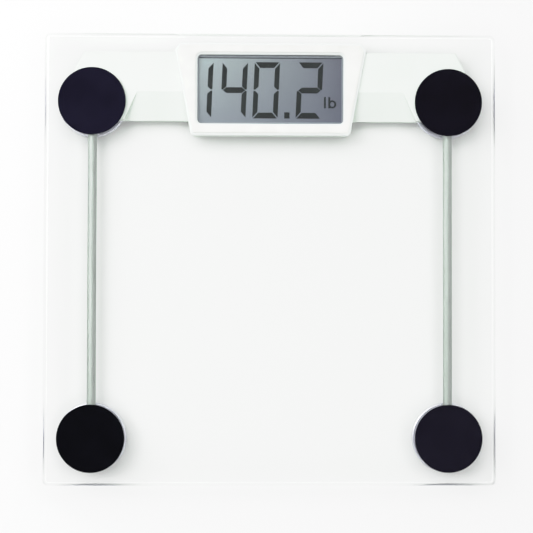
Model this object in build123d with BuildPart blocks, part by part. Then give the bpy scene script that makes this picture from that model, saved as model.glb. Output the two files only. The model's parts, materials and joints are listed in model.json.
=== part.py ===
# Glass bathroom scale: four load-cell feet, two tie tubes and a display bar under a clear plate.
# Millimetres. X runs to the right, Y from the user's edge to the display edge, Z up.
# The origin is on the floor, under the middle of the glass.
from build123d import *
import os

os.makedirs("parts", exist_ok=True)

# Platform
glass_width = 300.0
glass_depth = 300.0
glass_thickness = 6.0
glass_corner_radius = 4.0
glass_edge_round = 2.8
deck_height = 19.0              # floor to the underside of the glass
tape_thickness = 1.0

# Clearances
fit_gap = 0.1                   # between fixed pieces that slip together
slip_gap = 0.2                  # between pieces that move

# Feet
foot_inset_side = 31.0
foot_inset_front = 30.8
foot_inset_rear = 44.8
disc_radius = 22.2              # tape disc and seat flange; the rest of a foot follows it
flange_lip = 2.2                # flange past the seat's wall
flange_thickness = 2.0
cell_margin = 3.5               # seat's wall past the load cell
cell_thickness = 2.0
cell_shelf = 1.5                # width of the seat's shelf that bears on the cell
lug_thickness = 1.2
tongue_width = 11.0
tongue_slot = 1.2
gauge_offset = 6.5
pad_margin = 2.0                # cup's base past the pad
pad_thickness = 2.5
pad_recess = 1.0
cup_lip = 1.1                   # cup's rim past the disc
cup_flare = 4.3                 # cup's rim past its base
cup_height = 5.7
cup_wall = 2.2
foot_travel = 0.6
post_radius = 2.2
post_head_radius = 3.0

# Tie tubes and leads
tube_diameter = 6.0
tube_wall = 0.7
tube_insertion = 4.5
lead_radius = 0.9

# Display bar
wall = 2.0
ground_gap = 5.0                # floor to the underside of the bar
cover_thickness = 2.4
bar_rear_inset = 11.4
bar_depth = 45.6
facet_depth = 19.0              # plan width of the sloped front facet
facet_drop = 6.0
facet_end_gap = 7.0             # from the cup's rim to the facet's end, at its upper edge
facet_end_splay = 9.0           # how much further the facet's lower edge runs
top_edge_round = 0.8

# Display box and bezel
bezel_rear_inset = 5.4
bezel_depth = 61.9
bezel_half_rear = 60.7
bezel_half_shoulder = 64.0
bezel_shoulder_drop = 5.0
bezel_half_front = 53.1
bezel_corner_radius = 3.0
bezel_thickness = 2.0
bezel_overhang = 0.4
window_width = 97.6
window_depth = 46.2
window_drop = 7.9               # bezel's rear edge to the window
window_radius = 3.0
window_bevel = 0.8

# Liquid-crystal display
lcd_width = 100.6
lcd_depth = 51.0
lcd_ledge = 4.3                 # contact ledge along the rear edge of the front plate
lcd_plate = 1.1
film_thickness = 0.2
ink_thickness = 0.1
frame_seat = 1.6
frame_rim = 1.0
digit_height = 37.8
digit_width = 17.0
stroke_upright = 3.3
stroke_level = 3.9
stroke_gap = 0.55
digit_slant = 0.045

# Board, power and controls
board_width = 88.0
board_depth = 49.0
board_thickness = 1.6
cell_diameter = 20.0            # standard 2032 lithium coin cell
cell_height = 3.2
door_width = 26.0
door_margin = 2.5               # door past the coin cell
door_thickness = 1.45
door_rail = 1.0
door_rail_thickness = 0.7
door_gap = 0.15
button_radius = 3.0
button_travel = 0.5
button_proud = 0.4
button_offset = -28.0
screw_radius = 1.1
screw_head_radius = 2.5
screw_head_height = 1.2
screw_length = 6.0
boss_radius = 2.6

# Heights
glass_bottom = deck_height
cup_bottom = pad_thickness - pad_recess
cup_top = cup_bottom + cup_height
seat_bottom = cup_top + foot_travel + slip_gap
flange_top = deck_height - tape_thickness
flange_bottom = flange_top - flange_thickness
lug_bottom = seat_bottom + slip_gap
cell_bottom = lug_bottom + lug_thickness
cell_top = cell_bottom + cell_thickness
tube_height = (seat_bottom + flange_bottom) / 2
lead_height = cell_top + lead_radius + 0.3
bar_top = flange_bottom
cover_top = ground_gap + cover_thickness
bezel_top = deck_height - tape_thickness
bezel_bottom = bezel_top - bezel_thickness
film_bottom = bezel_bottom - film_thickness
front_plate_bottom = film_bottom - lcd_plate
ink_bottom = front_plate_bottom - ink_thickness
rear_plate_bottom = ink_bottom - lcd_plate
board_top = rear_plate_bottom - frame_seat
board_bottom = board_top - board_thickness
door_roof = ground_gap + door_thickness + door_gap
battery_bottom = ground_gap + door_thickness + slip_gap
battery_top = battery_bottom + cell_height

# Plan positions
foot_x = glass_width / 2 - foot_inset_side
foot_front_y = foot_inset_front - glass_depth / 2
foot_rear_y = glass_depth / 2 - foot_inset_rear
bar_rear_y = glass_depth / 2 - bar_rear_inset
bar_front_y = bar_rear_y - bar_depth
facet_rear_y = bar_front_y + facet_depth
bezel_rear_y = glass_depth / 2 - bezel_rear_inset
bezel_front_y = bezel_rear_y - bezel_depth
window_y = bezel_rear_y - window_drop - window_depth / 2
lcd_front_y = window_y - window_depth / 2 - 1.8
lcd_rear_y = lcd_front_y + lcd_depth
film_rear_y = lcd_rear_y - lcd_ledge
box_front_y = bezel_front_y + bezel_overhang
board_y = lcd_rear_y + 0.8 - board_depth / 2
battery_y = board_y - board_depth / 2 + 8.1
door_length = battery_y + cell_diameter / 2 + door_margin - box_front_y
seat_radius = disc_radius - flange_lip
cell_radius = seat_radius - cell_margin
seat_bore = seat_radius + slip_gap
cup_rim_radius = disc_radius + cup_lip
cup_base_radius = cup_rim_radius - cup_flare
pad_radius = cup_base_radius - pad_margin
cup_bore = cup_rim_radius + slip_gap
facet_end_upper = cup_rim_radius + facet_end_gap    # from a foot centre
facet_end_lower = facet_end_upper - facet_end_splay
tube_start = seat_radius + 1.5 - tube_insertion    # from a foot centre to the tube's end
wing_screws = [(side * x, bar_rear_y - y) for side in (-1, 1) for x, y in ((76, 15), (98, 8))]
box_screws = [(side * 58.4, bezel_rear_y - 11.3) for side in (-1, 1)]
board_posts = [(side * 40, board_y + y) for side in (-1, 1) for y in (-20.5, 20.5)]


def foot_plane(side, row):
    """Floor plane at a foot, turned so that its own +Y points along the tie tube."""
    if row == "front":
        return Plane((side * foot_x, foot_front_y, 0), x_dir=(1, 0, 0))
    return Plane((side * foot_x, foot_rear_y, 0), x_dir=(-1, 0, 0))


def upright(plane):
    """The plane's own XZ plane, for profiles that are turned about its centre."""
    return Plane(plane.origin, x_dir=plane.x_dir, z_dir=-plane.y_dir)


def wire_way(side):
    """Opening for the leads, from inside a rear seat through the end wall of the bar."""
    near = seat_radius / 2
    far = cup_bore + wall + 1.5
    with BuildPart() as way:
        with Locations((side * (foot_x - (near + far) / 2), foot_rear_y + 7, lead_height)):
            Box(far - near, 9, 2.6)
    return way.part


# Glass platform
with BuildPart() as glass_platform:
    with BuildSketch(Plane.XY.offset(glass_bottom)):
        RectangleRounded(glass_width, glass_depth, glass_corner_radius)
    extrude(amount=glass_thickness)
    rims = glass_platform.faces().filter_by(Axis.Z).edges()
    fillet(rims, radius=glass_edge_round)
glass_platform.part.label = "glass_platform"
export_step(glass_platform.part, "parts/glass_platform.step")


# Feet: tape, seat, load cell, gauge coating, cup and pad
for side, side_name in ((-1, "left"), (1, "right")):
    for row in ("front", "rear"):
        name = row + "_" + side_name
        floor = foot_plane(side, row)
        axis = Axis(floor.origin, (0, 0, 1))

        with BuildPart() as foot_tape:
            with BuildSketch(floor.offset(flange_top)):
                Circle(disc_radius)
            extrude(amount=tape_thickness)
        foot_tape.part.label = name + "_foot_tape"
        export_step(foot_tape.part, f"parts/{name}_foot_tape.step")

        with BuildPart() as foot_seat:
            with BuildSketch(floor.offset(flange_bottom)):
                Circle(disc_radius)
            extrude(amount=flange_thickness)
            with BuildSketch(floor.offset(seat_bottom)):
                Circle(seat_radius)
                with Locations((0, seat_radius / 2)):
                    Rectangle(tube_diameter + 3, seat_radius + 3)
            extrude(amount=flange_bottom - seat_bottom)
            with BuildSketch(floor.offset(seat_bottom)):
                Circle(cell_radius + fit_gap)
            extrude(amount=cell_top - seat_bottom, mode=Mode.SUBTRACT)
            with BuildSketch(floor.offset(cell_top)):
                Circle(cell_radius - cell_shelf)
            extrude(amount=flange_bottom - cell_top, mode=Mode.SUBTRACT)
            with BuildSketch(floor.offset(lug_bottom)):
                with PolarLocations(cell_radius, 3, start_angle=30):
                    Rectangle(2.4, 6)
            extrude(amount=lug_thickness)
            tube_face = Plane(floor.origin, x_dir=floor.x_dir, z_dir=floor.y_dir)
            with BuildSketch(tube_face.offset(tube_start)):
                with Locations((0, -tube_height)):
                    Circle(tube_diameter / 2)
            extrude(amount=seat_radius, mode=Mode.SUBTRACT)
            with BuildSketch(tube_face.offset(cell_radius - 4)):
                with Locations((0, -lead_height)):
                    SlotOverall(4.4, 2.6)
            extrude(amount=4 + tube_insertion, mode=Mode.SUBTRACT)
            if row == "rear":
                add(wire_way(side), mode=Mode.SUBTRACT)
        foot_seat.part.label = name + "_foot_seat"
        export_step(foot_seat.part, f"parts/{name}_foot_seat.step")

        with BuildPart() as load_cell:
            with BuildSketch(floor.offset(cell_bottom)):
                Circle(cell_radius)
                Circle(post_radius + 0.3, mode=Mode.SUBTRACT)
                with Locations((0, -1)):
                    Rectangle(tongue_width + 2 * tongue_slot, 18, mode=Mode.SUBTRACT)
                with Locations((0, -1 + tongue_slot)):
                    Rectangle(tongue_width, 18)
                Circle(post_radius + 0.3, mode=Mode.SUBTRACT)
            extrude(amount=cell_thickness)
        load_cell.part.label = name + "_load_cell"
        export_step(load_cell.part, f"parts/{name}_load_cell.step")

        with BuildPart() as gauge_coating:
            with BuildSketch(floor.offset(cell_top)):
                with Locations((0, gauge_offset)):
                    Ellipse(4, 2.2)
            extrude(amount=1.0)
            fillet(gauge_coating.faces().sort_by(Axis.Z)[-1].edges(), radius=0.5)
        gauge_coating.part.label = name + "_gauge_coating"
        export_step(gauge_coating.part, f"parts/{name}_gauge_coating.step")

        with BuildPart() as foot_cup:
            shoulder_top = cell_bottom - foot_travel - fit_gap
            head_bottom = cell_top + fit_gap
            with BuildSketch(upright(floor)):
                with BuildLine():
                    base = Line((0, cup_bottom), (cup_base_radius, cup_bottom))
                    side_curve = ThreePointArc(
                        base @ 1,
                        (cup_rim_radius - 1.2, cup_bottom + 0.45 * cup_height),
                        (cup_rim_radius, cup_top - 1.0),
                    )
                    lip = RadiusArc(side_curve @ 1, (cup_rim_radius - 1.0, cup_top), -1.0)
                    Polyline(
                        lip @ 1,
                        (cup_rim_radius - cup_wall, cup_top),
                        (cup_base_radius - 0.6, cup_bottom + cup_wall),
                        (4.5, cup_bottom + cup_wall),
                        (4.5, shoulder_top),
                        (post_radius, shoulder_top),
                        (post_radius, head_bottom),
                        (post_head_radius, head_bottom),
                        (post_radius, head_bottom + 1.2),
                        (0, head_bottom + 1.2),
                        base @ 0,
                    )
                make_face()
            revolve(axis=axis)
            with BuildSketch(floor.offset(cup_bottom)):
                Circle(pad_radius + fit_gap)
            extrude(amount=pad_recess, mode=Mode.SUBTRACT)
        foot_cup.part.label = name + "_foot_cup"
        export_step(foot_cup.part, f"parts/{name}_foot_cup.step")

        with BuildPart() as foot_pad:
            with BuildSketch(floor):
                Circle(pad_radius)
            extrude(amount=pad_thickness)
            chamfer(foot_pad.faces().sort_by(Axis.Z)[0].edges(), length=0.6)
            for groove in (0.35, 0.6, 0.85):
                with BuildSketch(floor):
                    Circle(groove * pad_radius + 0.6)
                    Circle(groove * pad_radius - 0.6, mode=Mode.SUBTRACT)
                extrude(amount=0.5, mode=Mode.SUBTRACT)
        foot_pad.part.label = name + "_foot_pad"
        export_step(foot_pad.part, f"parts/{name}_foot_pad.step")

    # Tie tube from the front seat to the rear seat
    with BuildPart() as tie_tube:
        tube_from = foot_front_y + tube_start
        tube_to = foot_rear_y - tube_start
        with BuildSketch(Plane((side * foot_x, tube_from, tube_height), z_dir=(0, 1, 0))):
            Circle(tube_diameter / 2)
            Circle(tube_diameter / 2 - tube_wall, mode=Mode.SUBTRACT)
        extrude(amount=tube_to - tube_from)
    tie_tube.part.label = side_name + "_tie_tube"
    export_step(tie_tube.part, f"parts/{side_name}_tie_tube.step")


def bar_plan(inset):
    """Plan outline of the long bar, drawn in by inset, with its ends cut around the rear feet."""
    with BuildSketch() as plan:
        with BuildLine():
            Polyline(
                (0, bar_rear_y),
                (foot_x + 5.4, bar_rear_y),
                (foot_x + 13.4, foot_rear_y + 17.4),
                (foot_x + 8, foot_rear_y + 12),
                (foot_x, bar_front_y),
                (0, bar_front_y),
            )
            mirror(about=Plane.YZ)
        make_face()
        if inset > 0:
            offset(amount=-inset, kind=Kind.INTERSECTION)
        with Locations((-foot_x, foot_rear_y), (foot_x, foot_rear_y)):
            Circle(cup_bore + inset if inset > 0 else seat_bore, mode=Mode.SUBTRACT)
    return plan.sketch


def box_plan(inset):
    """Plan outline of the bezel, drawn in by inset."""
    with BuildSketch() as plan:
        with BuildLine():
            Polyline(
                (0, bezel_rear_y),
                (bezel_half_rear, bezel_rear_y),
                (bezel_half_shoulder, bezel_rear_y - bezel_shoulder_drop),
                (bezel_half_front, bezel_front_y),
                (0, bezel_front_y),
            )
            mirror(about=Plane.YZ)
        make_face()
        fillet(plan.vertices().group_by(Axis.Y)[0], radius=bezel_corner_radius)
        fillet(plan.vertices().group_by(Axis.Y)[-1], radius=1.5)
        if inset > 0:
            offset(amount=-inset, kind=Kind.INTERSECTION)
    return plan.sketch


def facet_wedge(inset):
    """What the sloped facet takes off the bar's front, lowered and widened by inset."""
    past = 5.0                      # how far the cut runs out past the front edge
    slope = facet_drop / facet_depth
    splay = (facet_end_upper - facet_end_lower) / facet_depth
    lower_x = foot_x - facet_end_lower + splay * past + inset
    upper_x = foot_x - facet_end_upper + inset
    with BuildPart() as wedge:
        with BuildSketch(Plane.YZ.offset(-foot_x)):
            with BuildLine():
                Polyline(
                    (facet_rear_y, bar_top - inset),
                    (bar_front_y - past, bar_top - inset - slope * (facet_depth + past)),
                    (bar_front_y - past, bar_top + 1),
                    (facet_rear_y, bar_top + 1),
                    close=True,
                )
            make_face()
        extrude(amount=2 * foot_x)
        with BuildSketch(Plane.XY):
            with BuildLine():
                Polyline(
                    (-upper_x, facet_rear_y),
                    (upper_x, facet_rear_y),
                    (lower_x, bar_front_y - past),
                    (-lower_x, bar_front_y - past),
                    close=True,
                )
            make_face()
        extrude(amount=bar_top + 1, mode=Mode.INTERSECT)
    return wedge.part


def bar_solid(inset):
    """The long bar with its facet; with an inset, the hollow inside its walls."""
    with BuildPart() as bar:
        with BuildSketch(Plane.XY.offset(ground_gap)):
            add(bar_plan(inset))
        extrude(amount=bar_top - inset - ground_gap)
        add(facet_wedge(inset), mode=Mode.SUBTRACT)
        if inset == 0:
            top_rim = bar.faces().sort_by(Axis.Z)[-1].edges().filter_by(GeomType.LINE)
            fillet(top_rim, radius=top_edge_round)
    return bar.part


# Channel that the battery door slides in, open at the front of the box
with BuildPart() as door_channel:
    channel_length = door_length + slip_gap + 2
    channel_place = (0, box_front_y - 2 + channel_length / 2)
    rail_ledge = ground_gap + door_thickness - door_rail_thickness - door_gap
    with BuildSketch(Plane.XY.offset(ground_gap - 1)):
        with Locations(channel_place):
            Rectangle(door_width + 2 * slip_gap, channel_length)
    extrude(amount=rail_ledge - ground_gap + 1)
    with BuildSketch(Plane.XY.offset(rail_ledge)):
        with Locations(channel_place):
            Rectangle(door_width + 2 * (door_rail + slip_gap), channel_length)
    extrude(amount=door_roof - rail_ledge)


# Upper housing: wings with the sloped facet, and the box under the bezel
with BuildPart() as housing_top:
    add(bar_solid(0))
    with BuildSketch(Plane.XY.offset(ground_gap)):
        add(box_plan(bezel_overhang))
    extrude(amount=bezel_bottom - ground_gap)
    add(bar_solid(wall), mode=Mode.SUBTRACT)
    with BuildSketch(Plane.XY.offset(ground_gap)):
        add(box_plan(bezel_overhang + wall))
    extrude(amount=bezel_bottom - ground_gap, mode=Mode.SUBTRACT)
    with BuildSketch(Plane.XY.offset(cover_top)):
        with Locations(*wing_screws, *box_screws):
            Circle(boss_radius)
    extrude(amount=bar_top - wall - cover_top)
    with BuildSketch(Plane.XY.offset(cover_top)):
        with Locations(*wing_screws, *box_screws):
            Circle(screw_radius)
    extrude(amount=screw_length, mode=Mode.SUBTRACT)
    with BuildSketch(Plane.XY.offset(ground_gap)):
        with Locations((-foot_x, foot_rear_y), (foot_x, foot_rear_y)):
            Circle(cup_bore)
    extrude(amount=seat_bottom - ground_gap, mode=Mode.SUBTRACT)
    for side in (-1, 1):
        add(wire_way(side), mode=Mode.SUBTRACT)
    add(door_channel.part, mode=Mode.SUBTRACT)
housing_top.part.label = "housing_top"
export_step(housing_top.part, "parts/housing_top.step")


# Bottom cover, inside the upper housing's walls
with BuildPart() as bottom_cover:
    with BuildSketch(Plane.XY.offset(ground_gap)):
        add(bar_plan(wall + fit_gap))
        add(box_plan(bezel_overhang + wall + fit_gap))
    extrude(amount=cover_thickness)
    with BuildSketch(Plane.XY.offset(ground_gap)):
        with Locations(*wing_screws, *box_screws):
            Circle(screw_head_radius + fit_gap)
    extrude(amount=screw_head_height, mode=Mode.SUBTRACT)
    with BuildSketch(Plane.XY.offset(ground_gap)):
        with Locations(*wing_screws, *box_screws):
            Circle(screw_radius + fit_gap)
    extrude(amount=cover_thickness, mode=Mode.SUBTRACT)
    with BuildSketch(Plane.XY.offset(cover_top)):
        with Locations(*board_posts):
            Circle(2.0)
    extrude(amount=board_bottom - cover_top)
    with BuildSketch(Plane.XY.offset(board_bottom)):
        with Locations(*board_posts):
            Circle(0.9)
    extrude(amount=board_thickness)
    with BuildSketch(Plane.XY.offset(cover_top)):
        with Locations((0, battery_y)):
            Circle(cell_diameter / 2 + 1.6)
    extrude(amount=battery_top - cover_top - 0.3)
    with BuildSketch(Plane.XY.offset(ground_gap)):
        with Locations((0, battery_y)):
            Circle(cell_diameter / 2 + 2 * slip_gap)
    extrude(amount=battery_top - ground_gap, mode=Mode.SUBTRACT)
    with BuildSketch(Plane.XY.offset(cover_top)):
        with Locations((cell_diameter / 2, battery_y)):
            Rectangle(5, 8)
    extrude(amount=battery_top - cover_top, mode=Mode.SUBTRACT)
    with BuildSketch(Plane.XY.offset(ground_gap)):
        with Locations((button_offset, battery_y)):
            Circle(button_radius + slip_gap)
    extrude(amount=cover_thickness, mode=Mode.SUBTRACT)
    add(door_channel.part, mode=Mode.SUBTRACT)
bottom_cover.part.label = "bottom_cover"
export_step(bottom_cover.part, "parts/bottom_cover.step")


# Six self-tapping screws, driven up from below
with BuildPart() as housing_screws:
    with BuildSketch(Plane.XY.offset(ground_gap)):
        with Locations(*wing_screws, *box_screws):
            Circle(screw_head_radius)
    extrude(amount=screw_head_height)
    chamfer(housing_screws.faces().group_by(Axis.Z)[0].edges(), length=0.3)
    with BuildSketch(Plane.XY.offset(ground_gap + screw_head_height)):
        with Locations(*wing_screws, *box_screws):
            Circle(screw_radius)
    extrude(amount=screw_length)
    with BuildSketch(Plane.XY.offset(ground_gap)):
        with Locations(*wing_screws, *box_screws):
            Rectangle(3.0, 0.7)
            Rectangle(0.7, 3.0)
    extrude(amount=0.7, mode=Mode.SUBTRACT)
housing_screws.part.label = "housing_screws"
export_step(housing_screws.part, "parts/housing_screws.step")


# Bezel with its window and four snap tabs
with BuildPart() as display_bezel:
    with BuildSketch(Plane.XY.offset(bezel_bottom)):
        add(box_plan(0))
        with Locations((0, window_y)):
            RectangleRounded(window_width, window_depth, window_radius, mode=Mode.SUBTRACT)
    extrude(amount=bezel_thickness)
    face = display_bezel.faces().sort_by(Axis.Z)[-1]
    chamfer(face.inner_wires()[0].edges(), length=window_bevel)
    face = display_bezel.faces().sort_by(Axis.Z)[-1]
    fillet(face.outer_wire().edges(), radius=top_edge_round)
    tab_inset = bezel_overhang + wall + fit_gap + 0.6
    with BuildSketch(Plane.XY.offset(bezel_bottom - 4)):
        with Locations((-30, bezel_rear_y - tab_inset), (30, bezel_rear_y - tab_inset)):
            Rectangle(8, 1.2)
        with Locations((-30, bezel_front_y + tab_inset), (30, bezel_front_y + tab_inset)):
            Rectangle(8, 1.2)
    extrude(amount=4)
display_bezel.part.label = "display_bezel"
export_step(display_bezel.part, "parts/display_bezel.step")

with BuildPart() as bezel_tape:
    with BuildSketch(Plane.XY.offset(bezel_top)):
        add(box_plan(2 * top_edge_round))
        with Locations((0, window_y)):
            RectangleRounded(
                window_width + 4 * window_bevel,
                window_depth + 4 * window_bevel,
                window_radius + 2 * window_bevel,
                mode=Mode.SUBTRACT,
            )
    extrude(amount=tape_thickness)
bezel_tape.part.label = "bezel_tape"
export_step(bezel_tape.part, "parts/bezel_tape.step")


# Liquid-crystal display: film, two plates, the segment layer between them, and its frame
with BuildPart() as lcd_film:
    with BuildSketch(Plane.XY.offset(film_bottom)):
        with Locations((0, (lcd_front_y + film_rear_y) / 2)):
            Rectangle(lcd_width, film_rear_y - lcd_front_y)
    extrude(amount=film_thickness)
lcd_film.part.label = "lcd_film"
export_step(lcd_film.part, "parts/lcd_film.step")

with BuildPart() as lcd_front_plate:
    with BuildSketch(Plane.XY.offset(front_plate_bottom)):
        with Locations((0, lcd_front_y + lcd_depth / 2)):
            Rectangle(lcd_width, lcd_depth)
    extrude(amount=lcd_plate)
lcd_front_plate.part.label = "lcd_front_plate"
export_step(lcd_front_plate.part, "parts/lcd_front_plate.step")

with BuildPart() as lcd_rear_plate:
    with BuildSketch(Plane.XY.offset(rear_plate_bottom)):
        with Locations((0, (lcd_front_y + film_rear_y) / 2)):
            Rectangle(lcd_width, film_rear_y - lcd_front_y)
    extrude(amount=lcd_plate)
lcd_rear_plate.part.label = "lcd_rear_plate"
export_step(lcd_rear_plate.part, "parts/lcd_rear_plate.step")

digit_strokes = {"0": "abcdef", "1": "bc", "2": "abdeg", "4": "bcfg"}
digit_places = (("1", -47.4), ("4", -24.4), ("0", -2.9), ("2", 26.1))
digit_base = window_y - window_depth / 2 + 3.8


def stroke(letter, centre):
    """One of a digit's seven strokes, with mitred ends, leaning to the right as it rises."""
    half = digit_width / 2
    rise = digit_height / 2
    up = stroke_upright
    level = stroke_level
    gap = stroke_gap
    if letter in "ad":
        outline = [
            (-half + gap, rise),
            (half - gap, rise),
            (half - up - gap, rise - level),
            (-half + up + gap, rise - level),
        ]
    elif letter == "g":
        outline = [
            (-half + 1.0, 0),
            (-half + up, level / 2),
            (half - up, level / 2),
            (half - 1.0, 0),
            (half - up, -level / 2),
            (-half + up, -level / 2),
        ]
    else:
        outline = [
            (half, rise - gap),
            (half, gap),
            (half - 1.0, gap / 2),
            (half - up, level / 2 + gap),
            (half - up, rise - level - gap),
        ]
    if letter in "fe":
        outline = [(-x, y) for x, y in outline]
    if letter in "dce":
        outline = [(x, -y) for x, y in outline]
    return [(centre + x + digit_slant * y, digit_base + rise + y) for x, y in outline]


with BuildPart() as lcd_segments:
    for digit, centre in digit_places:
        for letter in digit_strokes[digit]:
            with BuildSketch(Plane.XY.offset(ink_bottom)):
                with BuildLine():
                    Polyline(*stroke(letter, centre), close=True)
                make_face()
            extrude(amount=ink_thickness)
    with BuildSketch(Plane.XY.offset(ink_bottom)):
        with Locations((11.0, digit_base + 2.1)):
            Rectangle(3.6, 4.2)
        with Locations((36.5, digit_base + 10.8)):
            Rectangle(1.3, 7.6)
        with Locations((39.4, digit_base + 10.8)):
            Rectangle(1.3, 7.6)
    extrude(amount=ink_thickness)
    with BuildSketch(Plane.XY.offset(ink_bottom)):
        with Locations((41.4, digit_base + 9.7)):
            Ellipse(2.7, 2.7)
            Ellipse(1.4, 1.6, mode=Mode.SUBTRACT)
    extrude(amount=ink_thickness)
lcd_segments.part.label = "lcd_segments"
export_step(lcd_segments.part, "parts/lcd_segments.step")

with BuildPart() as lcd_frame:
    frame_width = lcd_width + 2 * (fit_gap + frame_rim)
    frame_depth = lcd_depth + 2 * (fit_gap + frame_rim)
    with BuildSketch(Plane.XY.offset(board_top)):
        with Locations((0, lcd_front_y + lcd_depth / 2)):
            Rectangle(frame_width, frame_depth)
    extrude(amount=film_bottom - board_top)
    with BuildSketch(Plane.XY.offset(rear_plate_bottom)):
        with Locations((0, lcd_front_y + lcd_depth / 2)):
            Rectangle(lcd_width + 2 * fit_gap, lcd_depth + 2 * fit_gap)
    extrude(amount=film_bottom - rear_plate_bottom, mode=Mode.SUBTRACT)
    with BuildSketch(Plane.XY.offset(board_top)):
        with Locations((0, lcd_front_y + lcd_depth / 2 - 3)):
            Rectangle(lcd_width - 10, lcd_depth - 14)
        with Locations((0, lcd_rear_y - 2)):
            Rectangle(board_width - 2 + 2 * fit_gap, 2.2 + 2 * fit_gap)
    extrude(amount=frame_seat, mode=Mode.SUBTRACT)
lcd_frame.part.label = "lcd_frame"
export_step(lcd_frame.part, "parts/lcd_frame.step")

with BuildPart() as contact_strip:
    with BuildSketch(Plane.XY.offset(board_top)):
        with Locations((0, lcd_rear_y - 2)):
            Rectangle(board_width - 2, 2.2)
    extrude(amount=front_plate_bottom - board_top)
contact_strip.part.label = "contact_strip"
export_step(contact_strip.part, "parts/contact_strip.step")


# Circuit board and what is soldered to it
with BuildPart() as circuit_board:
    with BuildSketch(Plane.XY.offset(board_bottom)):
        with Locations((0, board_y)):
            RectangleRounded(board_width, board_depth, 1.0)
        with Locations(*board_posts):
            Circle(0.9 + fit_gap, mode=Mode.SUBTRACT)
    extrude(amount=board_thickness)
circuit_board.part.label = "circuit_board"
export_step(circuit_board.part, "parts/circuit_board.step")

with BuildPart() as chip_dome:
    with BuildSketch(Plane.XY.offset(board_bottom)):
        with Locations((26, battery_y + 6)):
            Circle(6)
    extrude(amount=-1.5)
    fillet(chip_dome.faces().sort_by(Axis.Z)[0].edges(), radius=1.2)
chip_dome.part.label = "chip_dome"
export_step(chip_dome.part, "parts/chip_dome.step")

with BuildPart() as board_parts:
    with BuildSketch(Plane.XY.offset(board_bottom)):
        with Locations((-14, board_y + 6), (-20, board_y + 10), (14, board_y + 9), (33, board_y + 8)):
            Rectangle(2.0, 1.25)
        with Locations((-31, board_y + 9)):
            SlotOverall(8, 3)
    extrude(amount=-0.9)
board_parts.part.label = "board_parts"
export_step(board_parts.part, "parts/board_parts.step")

with BuildPart() as unit_switch:
    plunger_bottom = cover_top + fit_gap + 0.6 + button_travel + fit_gap
    with BuildSketch(Plane.XY.offset(board_bottom)):
        with Locations((button_offset, battery_y)):
            Rectangle(6, 6)
    extrude(amount=-1.2)
    with BuildSketch(Plane.XY.offset(plunger_bottom)):
        with Locations((button_offset, battery_y)):
            Circle(1.5)
    extrude(amount=board_bottom - 1.2 - plunger_bottom)
unit_switch.part.label = "unit_switch"
export_step(unit_switch.part, "parts/unit_switch.step")

with BuildPart() as coin_cell:
    with BuildSketch(Plane.XY.offset(battery_bottom)):
        with Locations((0, battery_y)):
            Circle(cell_diameter / 2)
    extrude(amount=cell_height - 0.3)
    fillet(coin_cell.faces().sort_by(Axis.Z)[0].edges(), radius=0.4)
    with BuildSketch(Plane.XY.offset(battery_top - 0.3)):
        with Locations((0, battery_y)):
            Circle(cell_diameter / 2 - 1.2)
    extrude(amount=0.3)
coin_cell.part.label = "coin_cell"
export_step(coin_cell.part, "parts/coin_cell.step")

with BuildPart() as negative_contact:
    strip = 0.2
    with BuildSketch(Plane.YZ.offset(-3)):
        with BuildLine():
            Polyline(
                (battery_y + 11, board_bottom),
                (battery_y + 7, board_bottom),
                (battery_y, battery_top + strip),
                (battery_y - 4, battery_top + 2 * strip),
                (battery_y - 4, battery_top + strip),
                (battery_y, battery_top),
                (battery_y + 7, board_bottom - strip),
                (battery_y + 11, board_bottom - strip),
                close=True,
            )
        make_face()
    extrude(amount=6)
negative_contact.part.label = "negative_contact"
export_step(negative_contact.part, "parts/negative_contact.step")

with BuildPart() as positive_contact:
    with BuildSketch(Plane.XY.offset(cover_top + fit_gap)):
        with Locations((cell_diameter / 2 + 0.15, battery_y)):
            Rectangle(0.3, 5)
    extrude(amount=board_bottom - cover_top - fit_gap)
    with BuildSketch(Plane.XY.offset(board_bottom - 0.3)):
        with Locations((cell_diameter / 2 + 2, battery_y)):
            Rectangle(4, 5)
    extrude(amount=0.3)
positive_contact.part.label = "positive_contact"
export_step(positive_contact.part, "parts/positive_contact.step")


# Battery door, with rails along both sides and grip grooves near its outer end
with BuildPart() as battery_door:
    door_place = (0, box_front_y + door_length / 2)
    with BuildSketch(Plane.XY.offset(ground_gap)):
        with Locations(door_place):
            Rectangle(door_width, door_length)
    extrude(amount=door_thickness)
    with BuildSketch(Plane.XY.offset(ground_gap + door_thickness - door_rail_thickness)):
        with Locations(door_place):
            Rectangle(door_width + 2 * door_rail, door_length)
    extrude(amount=door_rail_thickness)
    with BuildSketch(Plane.XY.offset(ground_gap)):
        with Locations((0, box_front_y + 5)):
            with GridLocations(0, 2.2, 1, 4):
                Rectangle(14, 1)
    extrude(amount=0.4, mode=Mode.SUBTRACT)
battery_door.part.label = "battery_door"
export_step(battery_door.part, "parts/battery_door.step")

with BuildPart() as unit_button:
    with BuildSketch(Plane.XY.offset(ground_gap - button_proud)):
        with Locations((button_offset, battery_y)):
            Circle(button_radius)
    extrude(amount=cover_top + fit_gap - ground_gap + button_proud)
    fillet(unit_button.faces().sort_by(Axis.Z)[0].edges(), radius=0.5)
    with BuildSketch(Plane.XY.offset(cover_top + fit_gap)):
        with Locations((button_offset, battery_y)):
            Circle(button_radius + 1.2)
    extrude(amount=0.6)
unit_button.part.label = "unit_button"
export_step(unit_button.part, "parts/unit_button.step")


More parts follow.
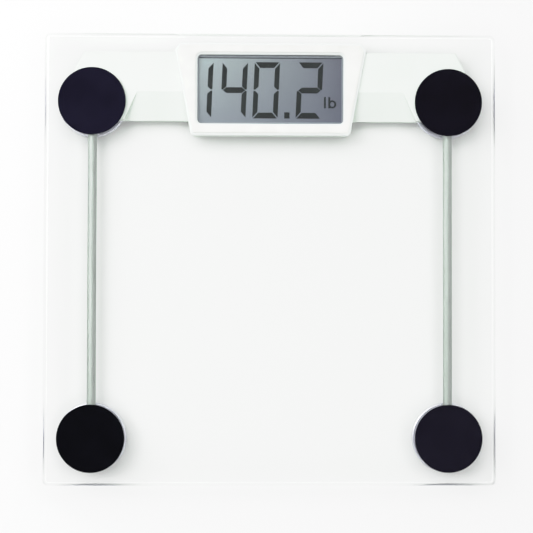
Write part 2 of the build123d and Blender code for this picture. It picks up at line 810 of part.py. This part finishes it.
# Load-cell leads: the front pair run through the tie tubes, and all four end at the board's edge
lead_low = board_top - lead_radius - fit_gap
for side, side_name in ((-1, "left"), (1, "right")):
    routes = {
        "front": [
            (foot_x, foot_front_y + gauge_offset + 2.2, lead_height),
            (foot_x, foot_rear_y - 13.5, lead_height),
            (foot_x - 8.5, foot_rear_y - 7.5, lead_height),
            (foot_x - 10.5, foot_rear_y + 2, lead_height),
            (foot_x - 16, foot_rear_y + 4.8, lead_height),
            (foot_x - 28, foot_rear_y + 5.5, lead_height),
            (board_width / 2 + 18, foot_rear_y + 7, lead_low),
            (board_width / 2, foot_rear_y + 7, lead_low),
        ],
        "rear": [
            (foot_x - 5.3, foot_rear_y - gauge_offset, lead_height),
            (foot_x - 7.5, foot_rear_y - 3, lead_height),
            (foot_x - 7.5, foot_rear_y + 4, lead_height),
            (foot_x - 13, foot_rear_y + 8.5, lead_height),
            (foot_x - 28, foot_rear_y + 9.8, lead_height),
            (board_width / 2 + 18, foot_rear_y + 11, lead_low),
            (board_width / 2, foot_rear_y + 11, lead_low),
        ],
    }
    for row, route in routes.items():
        with BuildPart() as leads:
            with BuildLine() as path:
                FilletPolyline(*[(side * x, y, z) for x, y, z in route], radius=2.5)
            with BuildSketch(Plane(path.line @ 0, z_dir=path.line % 0)):
                Circle(lead_radius)
            sweep()
        leads.part.label = f"{row}_{side_name}_leads"
        export_step(leads.part, f"parts/{row}_{side_name}_leads.step")
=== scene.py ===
# Glass bathroom scale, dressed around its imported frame. Metres, Z up, the floor at zero.
import json
import math
import bmesh
import bpy
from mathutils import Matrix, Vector

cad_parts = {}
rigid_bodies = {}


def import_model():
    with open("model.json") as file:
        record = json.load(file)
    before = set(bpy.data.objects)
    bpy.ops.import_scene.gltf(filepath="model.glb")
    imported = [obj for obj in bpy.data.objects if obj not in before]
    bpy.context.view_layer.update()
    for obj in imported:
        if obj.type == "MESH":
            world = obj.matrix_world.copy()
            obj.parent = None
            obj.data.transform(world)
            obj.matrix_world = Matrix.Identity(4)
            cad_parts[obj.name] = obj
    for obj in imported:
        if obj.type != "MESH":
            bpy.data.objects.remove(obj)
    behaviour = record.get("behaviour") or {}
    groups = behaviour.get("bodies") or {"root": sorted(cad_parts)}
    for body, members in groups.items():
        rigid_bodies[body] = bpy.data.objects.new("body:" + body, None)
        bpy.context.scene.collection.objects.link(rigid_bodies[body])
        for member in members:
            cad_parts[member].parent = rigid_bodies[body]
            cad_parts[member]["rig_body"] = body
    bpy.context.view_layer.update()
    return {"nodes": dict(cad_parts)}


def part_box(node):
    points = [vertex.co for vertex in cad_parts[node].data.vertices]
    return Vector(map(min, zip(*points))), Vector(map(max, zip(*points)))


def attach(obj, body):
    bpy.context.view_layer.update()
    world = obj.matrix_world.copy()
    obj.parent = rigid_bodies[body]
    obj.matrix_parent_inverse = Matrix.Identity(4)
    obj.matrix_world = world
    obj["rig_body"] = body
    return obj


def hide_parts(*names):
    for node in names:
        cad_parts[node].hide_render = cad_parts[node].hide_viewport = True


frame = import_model()
nodes = frame["nodes"]
scene = bpy.context.scene
feet = [row + "_" + side for row in ("front", "rear") for side in ("left", "right")]
nearly = 0.0001                                 # heights closer than this count as one
upright = 0.999                                 # a face lies flat when its normal's Z passes this
smoothAngle = 30                                # degrees, faces that meet at less shade as one
patchSpan = (0.32, 0.68)                        # the part of a noise's range that it fills,
grainSpan = (0.3, 0.7)                          # for colour patches and for grain
print("frame loaded:", len(nodes), "nodes")


# Helpers

def hexColour(text):
    channels = [int(text[i:i + 2], 16) / 255 for i in (0, 2, 4)]
    linear = [c / 12.92 if c <= 0.04045 else ((c + 0.055) / 1.055) ** 2.4 for c in channels]
    return (*linear, 1.0)


def addNode(tree, kind, settings=None, links=None):
    # settings are properties or input values; a link is a socket, or a node for its first output
    node = tree.nodes.new("ShaderNode" + kind)
    for key, value in (settings or {}).items():
        if isinstance(key, str) and hasattr(node, key):
            setattr(node, key, value)
        else:
            node.inputs[key].default_value = value
    for key, source in (links or {}).items():
        socket = source.outputs[0] if isinstance(source, bpy.types.Node) else source
        tree.links.new(socket, node.inputs[key])
    return node


def newMaterial(name):
    material = bpy.data.materials.new(name)
    material.use_nodes = True
    material.node_tree.nodes.clear()
    return material, material.node_tree


def addRamp(tree, source, stops):
    # a stop is a place with a hex colour, or with a plain light level
    ramp = addNode(tree, "ValToRGB", links={"Fac": source})
    band = ramp.color_ramp
    while len(band.elements) < len(stops):
        band.elements.new(0.5)
    for element, (place, shade) in zip(band.elements, stops):
        element.position = place
        element.color = hexColour(shade) if isinstance(shade, str) else (shade, shade, shade, 1)
    return ramp


def surface(name, look):
    # one opaque finish: broad colour variation, fine grain in roughness and bump; most of these
    # have a real grain under 0.1 mm, drawn at 0.4 mm or more so that it shows
    material, tree = newMaterial(name)
    place = addNode(tree, "TexCoord").outputs["Object"]
    if "stretch" in look:                       # drawn, brushed or layered along an axis
        place = addNode(tree, "Mapping", {"Scale": look["stretch"]}, {"Vector": place})
    grain = addNode(tree, "TexNoise", {"Scale": 1 / look["grain"], "Detail": 4.0,
                                       "Roughness": 0.6}, {"Vector": place})
    rough = addNode(tree, "MapRange", {"From Min": grainSpan[0], "From Max": grainSpan[1],
                                       "To Min": look["rough"][0], "To Max": look["rough"][1]},
                    {"Value": grain})
    bump = addNode(tree, "Bump", {"Strength": look["bump"], "Distance": look["depth"]},
                   {"Height": grain})
    shader = addNode(tree, "BsdfPrincipled", {"Metallic": look.get("metallic", 0.0)},
                     {"Roughness": rough, "Normal": bump})
    if "colour" in look:                        # the same all over
        shader.inputs["Base Color"].default_value = hexColour(look["colour"])
    else:
        broad = addNode(tree, "TexNoise", {"Scale": 1 / look["patch"], "Detail": 3.0},
                        {"Vector": place})
        colour = addRamp(tree, broad, [(patchSpan[0], look["dark"]), (patchSpan[1], look["light"])])
        tree.links.new(colour.outputs[0], shader.inputs["Base Color"])
    if "ior" in look:                           # metals keep the default
        shader.inputs["IOR"].default_value = look["ior"]
    for key, value in look.get("sockets", {}).items():
        shader.inputs[key].default_value = value
    addNode(tree, "OutputMaterial", links={"Surface": shader})
    return material


def finishPane(tree, glass, clear):
    # shadows and soft bounced light pass straight through, the eye meets the glass itself
    path = addNode(tree, "LightPath")
    passing = addNode(tree, "Math", {"operation": "MAXIMUM"}, {
        0: path.outputs["Is Shadow Ray"], 1: path.outputs["Is Diffuse Ray"]})
    mix = addNode(tree, "MixShader", links={"Fac": passing, 1: glass, 2: clear})
    addNode(tree, "OutputMaterial", links={"Surface": mix})


def dress(material, *names):
    for name in names:
        nodes[name].material_slots[0].material = material


def startPiece(name, add, **placing):
    bpy.ops.object.select_all(action="DESELECT")
    add(**placing)
    piece = bpy.context.object
    piece.name = piece.data.name = name
    bpy.ops.object.transform_apply(location=True, rotation=True, scale=True)
    return piece


def pick(piece, kind, test):
    # selects, in edit mode, the vertices, edges or faces that pass the test
    bpy.ops.mesh.select_all(action="DESELECT")
    bpy.ops.mesh.select_mode(type=kind)
    mesh = bmesh.from_edit_mesh(piece.data)
    items = {"VERT": mesh.verts, "EDGE": mesh.edges, "FACE": mesh.faces}[kind]
    for item in items:
        item.select_set(test(item))
    mesh.select_flush_mode()
    bmesh.update_edit_mesh(piece.data)


def rise(edge):
    return abs(edge.verts[0].co.z - edge.verts[1].co.z)


def finishPiece(piece, material, body, replaced):
    bpy.ops.object.mode_set(mode="OBJECT")
    bpy.ops.object.shade_smooth_by_angle(angle=math.radians(smoothAngle))
    piece.data.materials.clear()
    piece.data.materials.append(material)
    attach(piece, body)
    if replaced:
        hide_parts(*replaced)
    print("piece:", piece.name, len(piece.data.polygons), "faces")


# Camera, straight above and a little to the lower left of the middle

cameraLook = {
    "place": (-0.0293, -0.0345, 1.0842),
    "turn": (1.592, -1.447, 0.129),             # degrees
    "lens": 108.07,                             # millimetres, on the sensor's width
    "sensor": 36,
}
cameraData = bpy.data.cameras.new("camera")
cameraData.lens = cameraLook["lens"]
cameraData.sensor_width = cameraLook["sensor"]
camera = bpy.data.objects.new("camera", cameraData)
camera.location = cameraLook["place"]
camera.rotation_euler = [math.radians(a) for a in cameraLook["turn"]]
scene.collection.objects.link(camera)
scene.camera = camera


# Studio: a white paper sweep, most light from a ring overhead, the key from the upper left
# and a soft panel nearer on the same side

studio = {
    "keyPlace": (-2.57, 1.1, 4.0),
    "keySize": 0.85,
    "keyPower": 15.0,
    "panelPlace": (-0.62, 0.36, 0.72),
    "panelSize": 0.9,
    "panelPower": 4.6,
    "sky": [(0.0, 0.86), (0.15, 0.7), (0.4, 0.45), (0.78, 0.55),    # height of a ray, its light
            (0.86, 2.85), (0.935, 2.85),        # the ring
            (0.968, 0.08), (1.0, 0.05)],        # dark straight above
    "rearShare": (0.55, 1.45),                  # the walls in front and behind, against the middle
    "floorWidth": 12.0,
    "floorSteps": 8,
    "filmWhite": 1.25,                          # the scene light that shows as full white
    # scene light and how bright it shows: a soft shoulder keeps the floor just under white
    "film": [(0.0, 0.0), (0.45, 0.475), (0.6, 0.69), (0.7, 0.785), (0.8, 0.845), (0.88, 0.885),
             (0.95, 0.912), (1.02, 0.93), (1.09, 0.945), (1.15, 0.975), (1.25, 1.0)],
}
paperLook = {"dark": "ececec", "light": "eeeeee", "rough": (0.9, 0.95), "patch": 0.4,
             "grain": 0.001, "bump": 0.05, "depth": 0.0001, "ior": 1.4,
             "sockets": {"Specular IOR Level": 0.1}}        # matt white background paper


def areaLight(name, place, size, power):
    data = bpy.data.lights.new(name, "AREA")
    data.shape = "DISK"
    data.size = size
    data.energy = power
    light = bpy.data.objects.new(name, data)
    light.location = place
    light.rotation_euler = (-Vector(place)).to_track_quat("-Z", "Y").to_euler()     # at the middle
    light.visible_camera = False
    scene.collection.objects.link(light)


areaLight("keyLight", studio["keyPlace"], studio["keySize"], studio["keyPower"])
areaLight("softPanel", studio["panelPlace"], studio["panelSize"], studio["panelPower"])

world = bpy.data.worlds.new("studioWalls")
world.use_nodes = True
world.node_tree.nodes.clear()
way = addNode(world.node_tree, "TexCoord").outputs["Generated"]
ray = addNode(world.node_tree, "SeparateXYZ", links={"Vector": way})
glow = addRamp(world.node_tree, ray.outputs["Z"], studio["sky"])
rearward = addNode(world.node_tree, "MapRange", {
    "From Min": -1.0, "To Min": studio["rearShare"][0], "To Max": studio["rearShare"][1]}, {
    "Value": ray.outputs["Y"]})
walls = addNode(world.node_tree, "Background", links={"Color": glow, "Strength": rearward})
addNode(world.node_tree, "OutputWorld", links={"Surface": walls})
scene.world = world

view = scene.view_settings
view.view_transform = "Standard"
view.use_curve_mapping = True
view.curve_mapping.white_level = [studio["filmWhite"]] * 3
film = view.curve_mapping.curves[3]
while len(film.points) < len(studio["film"]):
    film.points.new(0.5, 0.5)
for point, (light, shown) in zip(film.points, studio["film"]):
    point.location = (light / studio["filmWhite"], shown)
    point.handle_type = "VECTOR"
view.curve_mapping.update()

floor = startPiece("floor", bpy.ops.mesh.primitive_grid_add, x_subdivisions=studio["floorSteps"],
                   y_subdivisions=studio["floorSteps"], size=studio["floorWidth"],
                   location=(0, 0, 0))
floor.data.materials.append(surface("paperSweep", paperLook))
print("studio ready")


# Glass platform: float glass, tempered, with a pencil-ground edge

glassPlate = {
    "sink": 0.00002,                            # the tape discs reach this far into it, as bonded
    "corner": 0.004,
    "edge": 0.0028,
    "steps": 10,
    "border": 0.0004,                           # a narrow border keeps the flat faces' shading flat
    "tint": "fefffe",
    "ior": 1.52,
    "shadow": "fcfdfc",                         # what light passing a flat face keeps
    "edgeShadow": "8c908d",                     # and light passing the ground edge
    "level": (0.55, 0.97),                      # from edge to flat face, by the normal's Z
}


def makeGlass(look):
    material, tree = newMaterial("temperedFloatGlass")      # clear, faintly green, mirror-smooth
    glass = addNode(tree, "BsdfPrincipled", {
        "Base Color": hexColour(look["tint"]), "Roughness": 0.0, "IOR": look["ior"],
        "Transmission Weight": 1.0})
    tilt = addNode(tree, "SeparateXYZ", links={
        "Vector": addNode(tree, "NewGeometry").outputs["Normal"]}).outputs["Z"]
    level = addNode(tree, "Math", {"operation": "ABSOLUTE"}, {0: tilt})
    past = addRamp(tree, level, [(look["level"][0], look["edgeShadow"]),
                                 (look["level"][1], look["shadow"])])
    clear = addNode(tree, "BsdfTransparent", links={"Color": past})
    finishPane(tree, glass, clear)
    return material


low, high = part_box("glass_platform")
low.z -= glassPlate["sink"]
piece = startPiece("glassPlate", bpy.ops.mesh.primitive_cube_add, size=1,
                   location=(low + high) / 2, scale=high - low)
bpy.ops.object.mode_set(mode="EDIT")
pick(piece, "EDGE", lambda e: rise(e) > nearly)
bpy.ops.mesh.bevel(offset=glassPlate["corner"], segments=glassPlate["steps"])
pick(piece, "EDGE", lambda e: rise(e) < nearly)
bpy.ops.mesh.bevel(offset=glassPlate["edge"], segments=glassPlate["steps"])
pick(piece, "FACE", lambda f: abs(f.normal.z) > upright)
bpy.ops.mesh.inset(thickness=glassPlate["border"])
finishPiece(piece, makeGlass(glassPlate), "platform", ["glass_platform"])


# Feet

tapeDisc = {
    "sides": 96,
    "round": 0.00022,                           # the die-cut edge, softened
    "roundSteps": 3,
    "bulge": 0.00035,                           # pressed foam stands out between its two faces
    "border": 0.0006,
    # each disc's tint carries painted reflection of the studio light: lightest on the rear left,
    # under the key, darkest on the front left
    "paintedReflectionTints": {"rear_left": ("131120", "181626"), "rear_right": ("0b0911", "0f0d17"),
              "front_left": ("050509", "08080e"), "front_right": ("13111c", "171520")},
    # closed-cell foam, wetted out on the glass, so it shows deep black with no gloss
    "foam": {"rough": (0.75, 0.9), "patch": 0.02, "grain": 0.0005, "bump": 0.25, "depth": 0.0001,
             "ior": 1.45, "sockets": {"Specular IOR Level": 0.0}},
}
rubberPad = {
    "sides": 96,
    "chamfer": 0.0006,
    "chamferSteps": 3,
    "grooves": [0.0022, 0.0018, 0.0018, 0.0018],        # land before each groove, from the rim in
    "groove": 0.0009,
    "wall": 0.00015,                            # the draft of a groove's wall
    "depth": 0.0005,
    "rubber": {"dark": "26262a", "light": "323236", "rough": (0.7, 0.85), "patch": 0.02,
               "grain": 0.0006, "bump": 0.3, "depth": 0.0001, "ior": 1.52},     # dull and grippy
}
footLooks = {
    "seat": {"dark": "c8c8d0", "light": "d2d2d9", "rough": (0.3, 0.42), "patch": 0.02,
             "grain": 0.0006, "bump": 0.1, "depth": 0.00003, "ior": 1.5,
             "metallic": 0.75},                 # silver lacquer on ABS, a satin shine
    "cup": {"dark": "ccccd4", "light": "dadae0", "rough": (0.26, 0.36), "patch": 0.03,
            "grain": 0.0009, "bump": 0.08, "depth": 0.00003, "metallic": 1.0},  # satin chrome
    "cell": {"dark": "a9a69f", "light": "bdbab3", "rough": (0.25, 0.4), "patch": 0.01,
             "grain": 0.0004, "bump": 0.15, "depth": 0.00003, "metallic": 1.0,
             "stretch": (1, 0.1, 1)},           # ground spring steel, fine lines one way
    "silicone": {"dark": "dcdcd4", "light": "ecece6", "rough": (0.25, 0.35), "patch": 0.004,
                 "grain": 0.0008, "bump": 0.2, "depth": 0.0002, "ior": 1.41},   # wet-looking drop
}
softEdge = {                                    # how a copied soft solid is rounded
    "round": 0.0002,
    "steps": 3,
    "sharp": 50,                                # degrees, edges that turn more are rounded
    "level": 1,                                 # degrees, faces that turn less become one
    "merge": 0.000002,
}
padRubber = surface("blackRubber", rubberPad["rubber"])
silicone = surface("curedSilicone", footLooks["silicone"])
silverLacquer = surface("silverLacqueredAbs", footLooks["seat"])
satinChrome = surface("satinChromePlate", footLooks["cup"])
springSteel = surface("groundSpringSteel", footLooks["cell"])


def makeTapeDisc(foot, look):
    low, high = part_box(foot + "_foot_tape")
    centre = (low + high) / 2
    radius = (high.x - low.x) / 2
    piece = startPiece(foot + "TapeDisc", bpy.ops.mesh.primitive_cylinder_add,
                       vertices=look["sides"], radius=radius, depth=high.z - low.z,
                       location=centre)
    bpy.ops.object.mode_set(mode="EDIT")
    bpy.ops.mesh.select_all(action="SELECT")
    bpy.ops.mesh.bisect(plane_co=centre, plane_no=(0, 0, 1))
    pick(piece, "VERT", lambda v: abs(v.co.z - centre.z) < nearly)
    wide = (radius + look["bulge"]) / radius
    bpy.ops.transform.resize(value=(wide, wide, 1), center_override=centre)
    pick(piece, "EDGE", lambda e: all(abs(v.co.z - centre.z) > nearly for v in e.verts))
    bpy.ops.mesh.bevel(offset=look["round"], segments=look["roundSteps"])
    pick(piece, "FACE", lambda f: abs(f.normal.z) > upright)
    bpy.ops.mesh.inset(thickness=look["border"])
    # this foot's copy of the foam, its tint holding painted reflection
    dark, light = look["paintedReflectionTints"][foot]
    foam = surface("blackFoamTapePaintedReflection_" + foot, dict(look["foam"], dark=dark, light=light))
    finishPiece(piece, foam, "platform", [foot + "_foot_tape"])


def makeRubberPad(foot, look):
    low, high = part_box(foot + "_foot_pad")
    piece = startPiece(foot + "RubberPad", bpy.ops.mesh.primitive_cylinder_add,
                       vertices=look["sides"], radius=(high.x - low.x) / 2,
                       depth=high.z - low.z, location=(low + high) / 2)
    bpy.ops.object.mode_set(mode="EDIT")
    pick(piece, "EDGE", lambda e: max(v.co.z for v in e.verts) < low.z + nearly)
    bpy.ops.mesh.bevel(offset=look["chamfer"], segments=look["chamferSteps"])
    pick(piece, "FACE", lambda f: f.normal.z < -upright)
    for land in look["grooves"]:
        bpy.ops.mesh.inset(thickness=land)
        bpy.ops.mesh.inset(thickness=look["wall"], depth=-look["depth"])
        bpy.ops.mesh.inset(thickness=look["groove"])
        bpy.ops.mesh.inset(thickness=look["wall"], depth=look["depth"])
    finishPiece(piece, padRubber, foot + "_foot", [foot + "_foot_pad"])


def softCopy(name, node):
    # a CAD solid's mesh copied and joined up, its edges rounded as a soft piece's are
    bpy.ops.object.select_all(action="DESELECT")
    piece = bpy.data.objects.new(name, nodes[node].data.copy())
    piece.data.name = name
    scene.collection.objects.link(piece)
    piece.select_set(True)
    bpy.context.view_layer.objects.active = piece
    bpy.ops.object.mode_set(mode="EDIT")
    bpy.ops.mesh.select_all(action="SELECT")
    bpy.ops.mesh.customdata_custom_splitnormals_clear()
    bpy.ops.mesh.remove_doubles(threshold=softEdge["merge"])
    bpy.ops.mesh.select_all(action="SELECT")
    bpy.ops.mesh.dissolve_limited(angle_limit=math.radians(softEdge["level"]))
    sharp = math.radians(softEdge["sharp"])
    pick(piece, "EDGE", lambda e: len(e.link_faces) == 2 and e.calc_face_angle() > sharp)
    bpy.ops.mesh.bevel(offset=softEdge["round"], segments=softEdge["steps"])
    return piece


for foot in feet:
    makeTapeDisc(foot, tapeDisc)
    makeRubberPad(foot, rubberPad)
    coating = foot + "_gauge_coating"
    finishPiece(softCopy(foot + "Silicone", coating), silicone, nodes[coating]["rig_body"],
                [coating])
    dress(silverLacquer, foot + "_foot_seat")
    dress(satinChrome, foot + "_foot_cup")
    dress(springSteel, foot + "_load_cell")
print("feet dressed")


# Tie tubes and leads

tubeLook = {"dark": "a6aba8", "light": "b3b8b5", "rough": (0.62, 0.7), "patch": 0.006,
            "grain": 0.0005, "bump": 0.03, "depth": 0.00002, "metallic": 1.0,
            "stretch": (1, 0.02, 1)}            # stainless, dull with lines along the draw
leadLook = {"dark": "b9211c", "light": "d8362e", "rough": (0.3, 0.45), "patch": 0.01,
            "grain": 0.0006, "bump": 0.1, "depth": 0.00003, "ior": 1.53}        # shiny soft vinyl
dress(surface("drawnStainlessSteel", tubeLook), "left_tie_tube", "right_tie_tube")
dress(surface("leadVinyl", leadLook), *[foot + "_leads" for foot in feet])
print("tubes and leads dressed")


# Display bar and bezel: white ABS

barLooks = {
    "shell": {"dark": "dfe6e0", "light": "e6ebe7", "rough": (0.36, 0.46), "patch": 0.03,
              "grain": 0.0006, "bump": 0.12, "depth": 0.00004, "ior": 1.53},    # spark-eroded grain
    "bezel": {"dark": "edf0f0", "light": "eff2f2", "rough": (0.22, 0.27), "patch": 0.05,
              "grain": 0.0012, "bump": 0.04, "depth": 0.00003, "ior": 1.53},    # polished, glossy
    "tape": {"dark": "e2e2de", "light": "eeeeea", "rough": (0.8, 0.9), "patch": 0.01,
             "grain": 0.0006, "bump": 0.3, "depth": 0.0001, "ior": 1.45},       # matt foam
    "button": {"dark": "8b8e92", "light": "989b9f", "rough": (0.4, 0.5), "patch": 0.01,
               "grain": 0.0006, "bump": 0.12, "depth": 0.00004, "ior": 1.53},   # satin grey ABS
    "screw": {"dark": "a8acb0", "light": "c0c3c4", "rough": (0.25, 0.4), "patch": 0.003,
              "grain": 0.0004, "bump": 0.1, "depth": 0.00003, "metallic": 1.0},     # bright zinc
}
dress(surface("mouldedWhiteAbs", barLooks["shell"]),
      "housing_top", "bottom_cover", "battery_door", "lcd_frame")
dress(surface("polishedWhiteAbs", barLooks["bezel"]), "display_bezel")
finishPiece(softCopy("bezelTape", "bezel_tape"), surface("whiteFoamTape", barLooks["tape"]),
            "platform", ["bezel_tape"])
dress(surface("greyAbs", barLooks["button"]), "unit_button")
dress(surface("zincPlatedSteel", barLooks["screw"]), "housing_screws")
print("bar dressed")


# Board, coin cell and contacts

boardLooks = {
    "laminate": {"dark": "1d5a35", "light": "2a6d43", "rough": (0.3, 0.45), "patch": 0.006,
                 "grain": 0.0006, "bump": 0.1, "depth": 0.00003, "ior": 1.55},  # green solder mask
    "dome": {"dark": "0c0c0c", "light": "151515", "rough": (0.2, 0.35), "patch": 0.004,
             "grain": 0.001, "bump": 0.2, "depth": 0.0001, "ior": 1.55},        # poured black resin
    "parts": {"dark": "6b5a48", "light": "7d6c58", "rough": (0.4, 0.55), "patch": 0.002,
              "grain": 0.0004, "bump": 0.1, "depth": 0.00003, "ior": 1.6},      # brown ceramic
    "switch": {"dark": "131317", "light": "1b1b20", "rough": (0.4, 0.55), "patch": 0.02,
               "grain": 0.0006, "bump": 0.2, "depth": 0.00005, "ior": 1.53},    # satin black ABS
    "contact": {"dark": "b9b7b0", "light": "c9c7c1", "rough": (0.2, 0.35), "patch": 0.005,
                "grain": 0.0005, "bump": 0.08, "depth": 0.00003, "metallic": 1.0},  # warm nickel
    "strip": {"dark": "2a2a2c", "light": "6c6c6e", "rough": (0.5, 0.65), "patch": 0.0005,
              "grain": 0.0005, "bump": 0.1, "depth": 0.00005, "ior": 1.45,
              "stretch": (1, 0.02, 0.02)},      # carbon layers between clear ones, seen as stripes
}
dress(surface("boardLaminate", boardLooks["laminate"]), "circuit_board")
dress(surface("blackEpoxy", boardLooks["dome"]), "chip_dome")
dress(surface("partCeramic", boardLooks["parts"]), "board_parts")
dress(surface("mouldedBlackAbs", boardLooks["switch"]), "unit_switch")
dress(surface("nickelPlatedSteel", boardLooks["contact"]),
      "coin_cell", "negative_contact", "positive_contact")
finishPiece(softCopy("contactStrip", "contact_strip"),
            surface("zebraElastomer", boardLooks["strip"]), "platform",
            ["contact_strip"])
print("board dressed")


# Liquid-crystal display

reflector = {
    # the corner colours are the film's grey with painted reflection and viewing-angle shade: light
    # and greenish to the upper left, dark and violet to the right
    "leftTop": "cfd7dd", "rightTop": "79778b",  # light and greenish to the left,
    "leftLow": "a9adbb", "rightLow": "737489",  # dark and violet to the right
    "sides": (-0.050, 0.050), "ends": (0.136, 0.089),       # where the four corner colours are
    "filmWidth": 0.0953, "filmTop": 0.1352, "filmFoot": 0.0917,     # it stops short of the window
    "border": "c3c5d2",                         # bare glass around the film, greyed with painted shade of the window's inner walls
    "sealShadow": "33343f", "sealShadowWidth": 0.0007,      # epoxy line along the film's top edge, also painted shadow of the bezel's window wall
    "rough": 0.5, "grain": 0.0004, "bump": 0.1, "depth": 0.00003,
}
inkLook = {"colour": "14191d", "rough": (0.5, 0.6), "grain": 0.0005, "bump": 0.05,
           "depth": 0.00002, "ior": 1.5}        # switched-on crystal, an even dark grey


def makeReflector(look):
    material, tree = newMaterial("displayReflectorPaintedSheen")        # silvered film, an even dull sheen
    place = addNode(tree, "TexCoord").outputs["Object"]
    split = addNode(tree, "SeparateXYZ", links={"Vector": place})
    x, y = split.outputs["X"], split.outputs["Y"]
    across = addNode(tree, "MapRange", {"From Min": look["sides"][0], "From Max": look["sides"][1]},
                     {"Value": x})
    down = addNode(tree, "MapRange", {"From Min": look["ends"][0], "From Max": look["ends"][1]},
                   {"Value": y})
    # painted reflection and viewing-angle shade, blended between the four corners
    top = addRamp(tree, across, [(0.0, look["leftTop"]), (1.0, look["rightTop"])])
    foot = addRamp(tree, across, [(0.0, look["leftLow"]), (1.0, look["rightLow"])])
    colour = addNode(tree, "Mix", {"data_type": "RGBA"}, {0: down, 6: top, 7: foot}).outputs[2]
    # the dark line along the film's top edge: an epoxy seal with painted shadow of the bezel's
    # window wall
    sealShadowFoot = look["filmTop"] - look["sealShadowWidth"]
    inSealShadow = addNode(tree, "Math", {"operation": "GREATER_THAN", 1: sealShadowFoot}, {0: y})
    colour = addNode(tree, "Mix", {"data_type": "RGBA", 7: hexColour(look["sealShadow"])},
                     {0: inSealShadow, 6: colour}).outputs[2]
    # the border around the film: bare glass, greyed with painted shade of the window's inner walls
    reach = addNode(tree, "Math", {"operation": "ABSOLUTE"}, {0: x})
    beside = addNode(tree, "Math", {"operation": "GREATER_THAN", 1: look["filmWidth"] / 2},
                     {0: reach})
    above = addNode(tree, "Math", {"operation": "GREATER_THAN", 1: look["filmTop"]}, {0: y})
    below = addNode(tree, "Math", {"operation": "LESS_THAN", 1: look["filmFoot"]}, {0: y})
    ends = addNode(tree, "Math", {"operation": "MAXIMUM"}, {0: above, 1: below})
    bareShadedBorder = addNode(tree, "Math", {"operation": "MAXIMUM"}, {0: ends, 1: beside})
    colour = addNode(tree, "Mix", {"data_type": "RGBA", 7: hexColour(look["border"])},
                     {0: bareShadedBorder, 6: colour}).outputs[2]
    grain = addNode(tree, "TexNoise", {"Scale": 1 / look["grain"], "Detail": 3.0},
                    {"Vector": place})
    bump = addNode(tree, "Bump", {"Strength": look["bump"], "Distance": look["depth"]},
                   {"Height": grain})
    shader = addNode(tree, "BsdfPrincipled", {"Roughness": look["rough"]},
                     {"Base Color": colour, "Normal": bump})
    addNode(tree, "OutputMaterial", links={"Surface": shader})
    return material


dress(makeReflector(reflector), "lcd_rear_plate")
dress(surface("crystalInk", inkLook), "lcd_segments")

displayPane = {
    "top": 0.016, "bottom": 0.014702,
    "filmRear": 0.1354,                         # the film ends here, the glass runs on as the ledge
    "tint": "eef0ef",
    "rough": 0.01,
    "ior": 1.5,
}
ledgeStrip = {
    "rear": 0.13658, "thickness": 0.00012,
    "gap": 0.00001,                             # clear of the glass around it
    "round": 0.00003,
    "roundSteps": 2,
    "coating": {"dark": "a8aab8", "light": "bfc1cd", "rough": (0.3, 0.4), "patch": 0.0008,
                "grain": 0.0004, "bump": 0.05, "depth": 0.00001, "ior": 1.8,
                "stretch": (1, 0.02, 0.02)},    # a comb of conductors, drawn coarse enough to show
}


def makeDisplayPane(look):
    material, tree = newMaterial("polarisedDisplayGlass")   # faintly grey, its film almost smooth
    tint = hexColour(look["tint"])
    glass = addNode(tree, "BsdfPrincipled", {"Base Color": tint, "Roughness": look["rough"],
                                             "IOR": look["ior"], "Transmission Weight": 1.0})
    finishPane(tree, glass, addNode(tree, "BsdfTransparent", {"Color": tint}))
    return material


low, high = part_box("lcd_front_plate")
low.z = displayPane["bottom"]
piece = startPiece("displayPane", bpy.ops.mesh.primitive_cube_add, size=1,
                   location=(low + high) / 2, scale=high - low)
bpy.ops.object.mode_set(mode="EDIT")
bpy.ops.mesh.bisect(plane_co=(0, displayPane["filmRear"], 0), plane_no=(0, 1, 0))
pick(piece, "FACE", lambda f: f.normal.z > upright and
     f.calc_center_median().y < displayPane["filmRear"])
bpy.ops.mesh.extrude_region_move(TRANSFORM_OT_translate={
    "value": (0, 0, displayPane["top"] - high.z)})
finishPiece(piece, makeDisplayPane(displayPane), "platform",
            ["lcd_front_plate", "lcd_film"])

low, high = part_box("lcd_rear_plate")
top = displayPane["bottom"] - ledgeStrip["gap"]
reach = ledgeStrip["rear"] - high.y
piece = startPiece("ledgeStrip", bpy.ops.mesh.primitive_cube_add, size=1,
                   location=(0, high.y + reach / 2, top - ledgeStrip["thickness"] / 2),
                   scale=(high.x - low.x, reach - ledgeStrip["gap"], ledgeStrip["thickness"]))
bpy.ops.object.mode_set(mode="EDIT")
bpy.ops.mesh.select_all(action="SELECT")
bpy.ops.mesh.bevel(offset=ledgeStrip["round"], segments=ledgeStrip["roundSteps"])
finishPiece(piece, surface("contactCoating", ledgeStrip["coating"]), "platform",
            [])
print("display dressed")
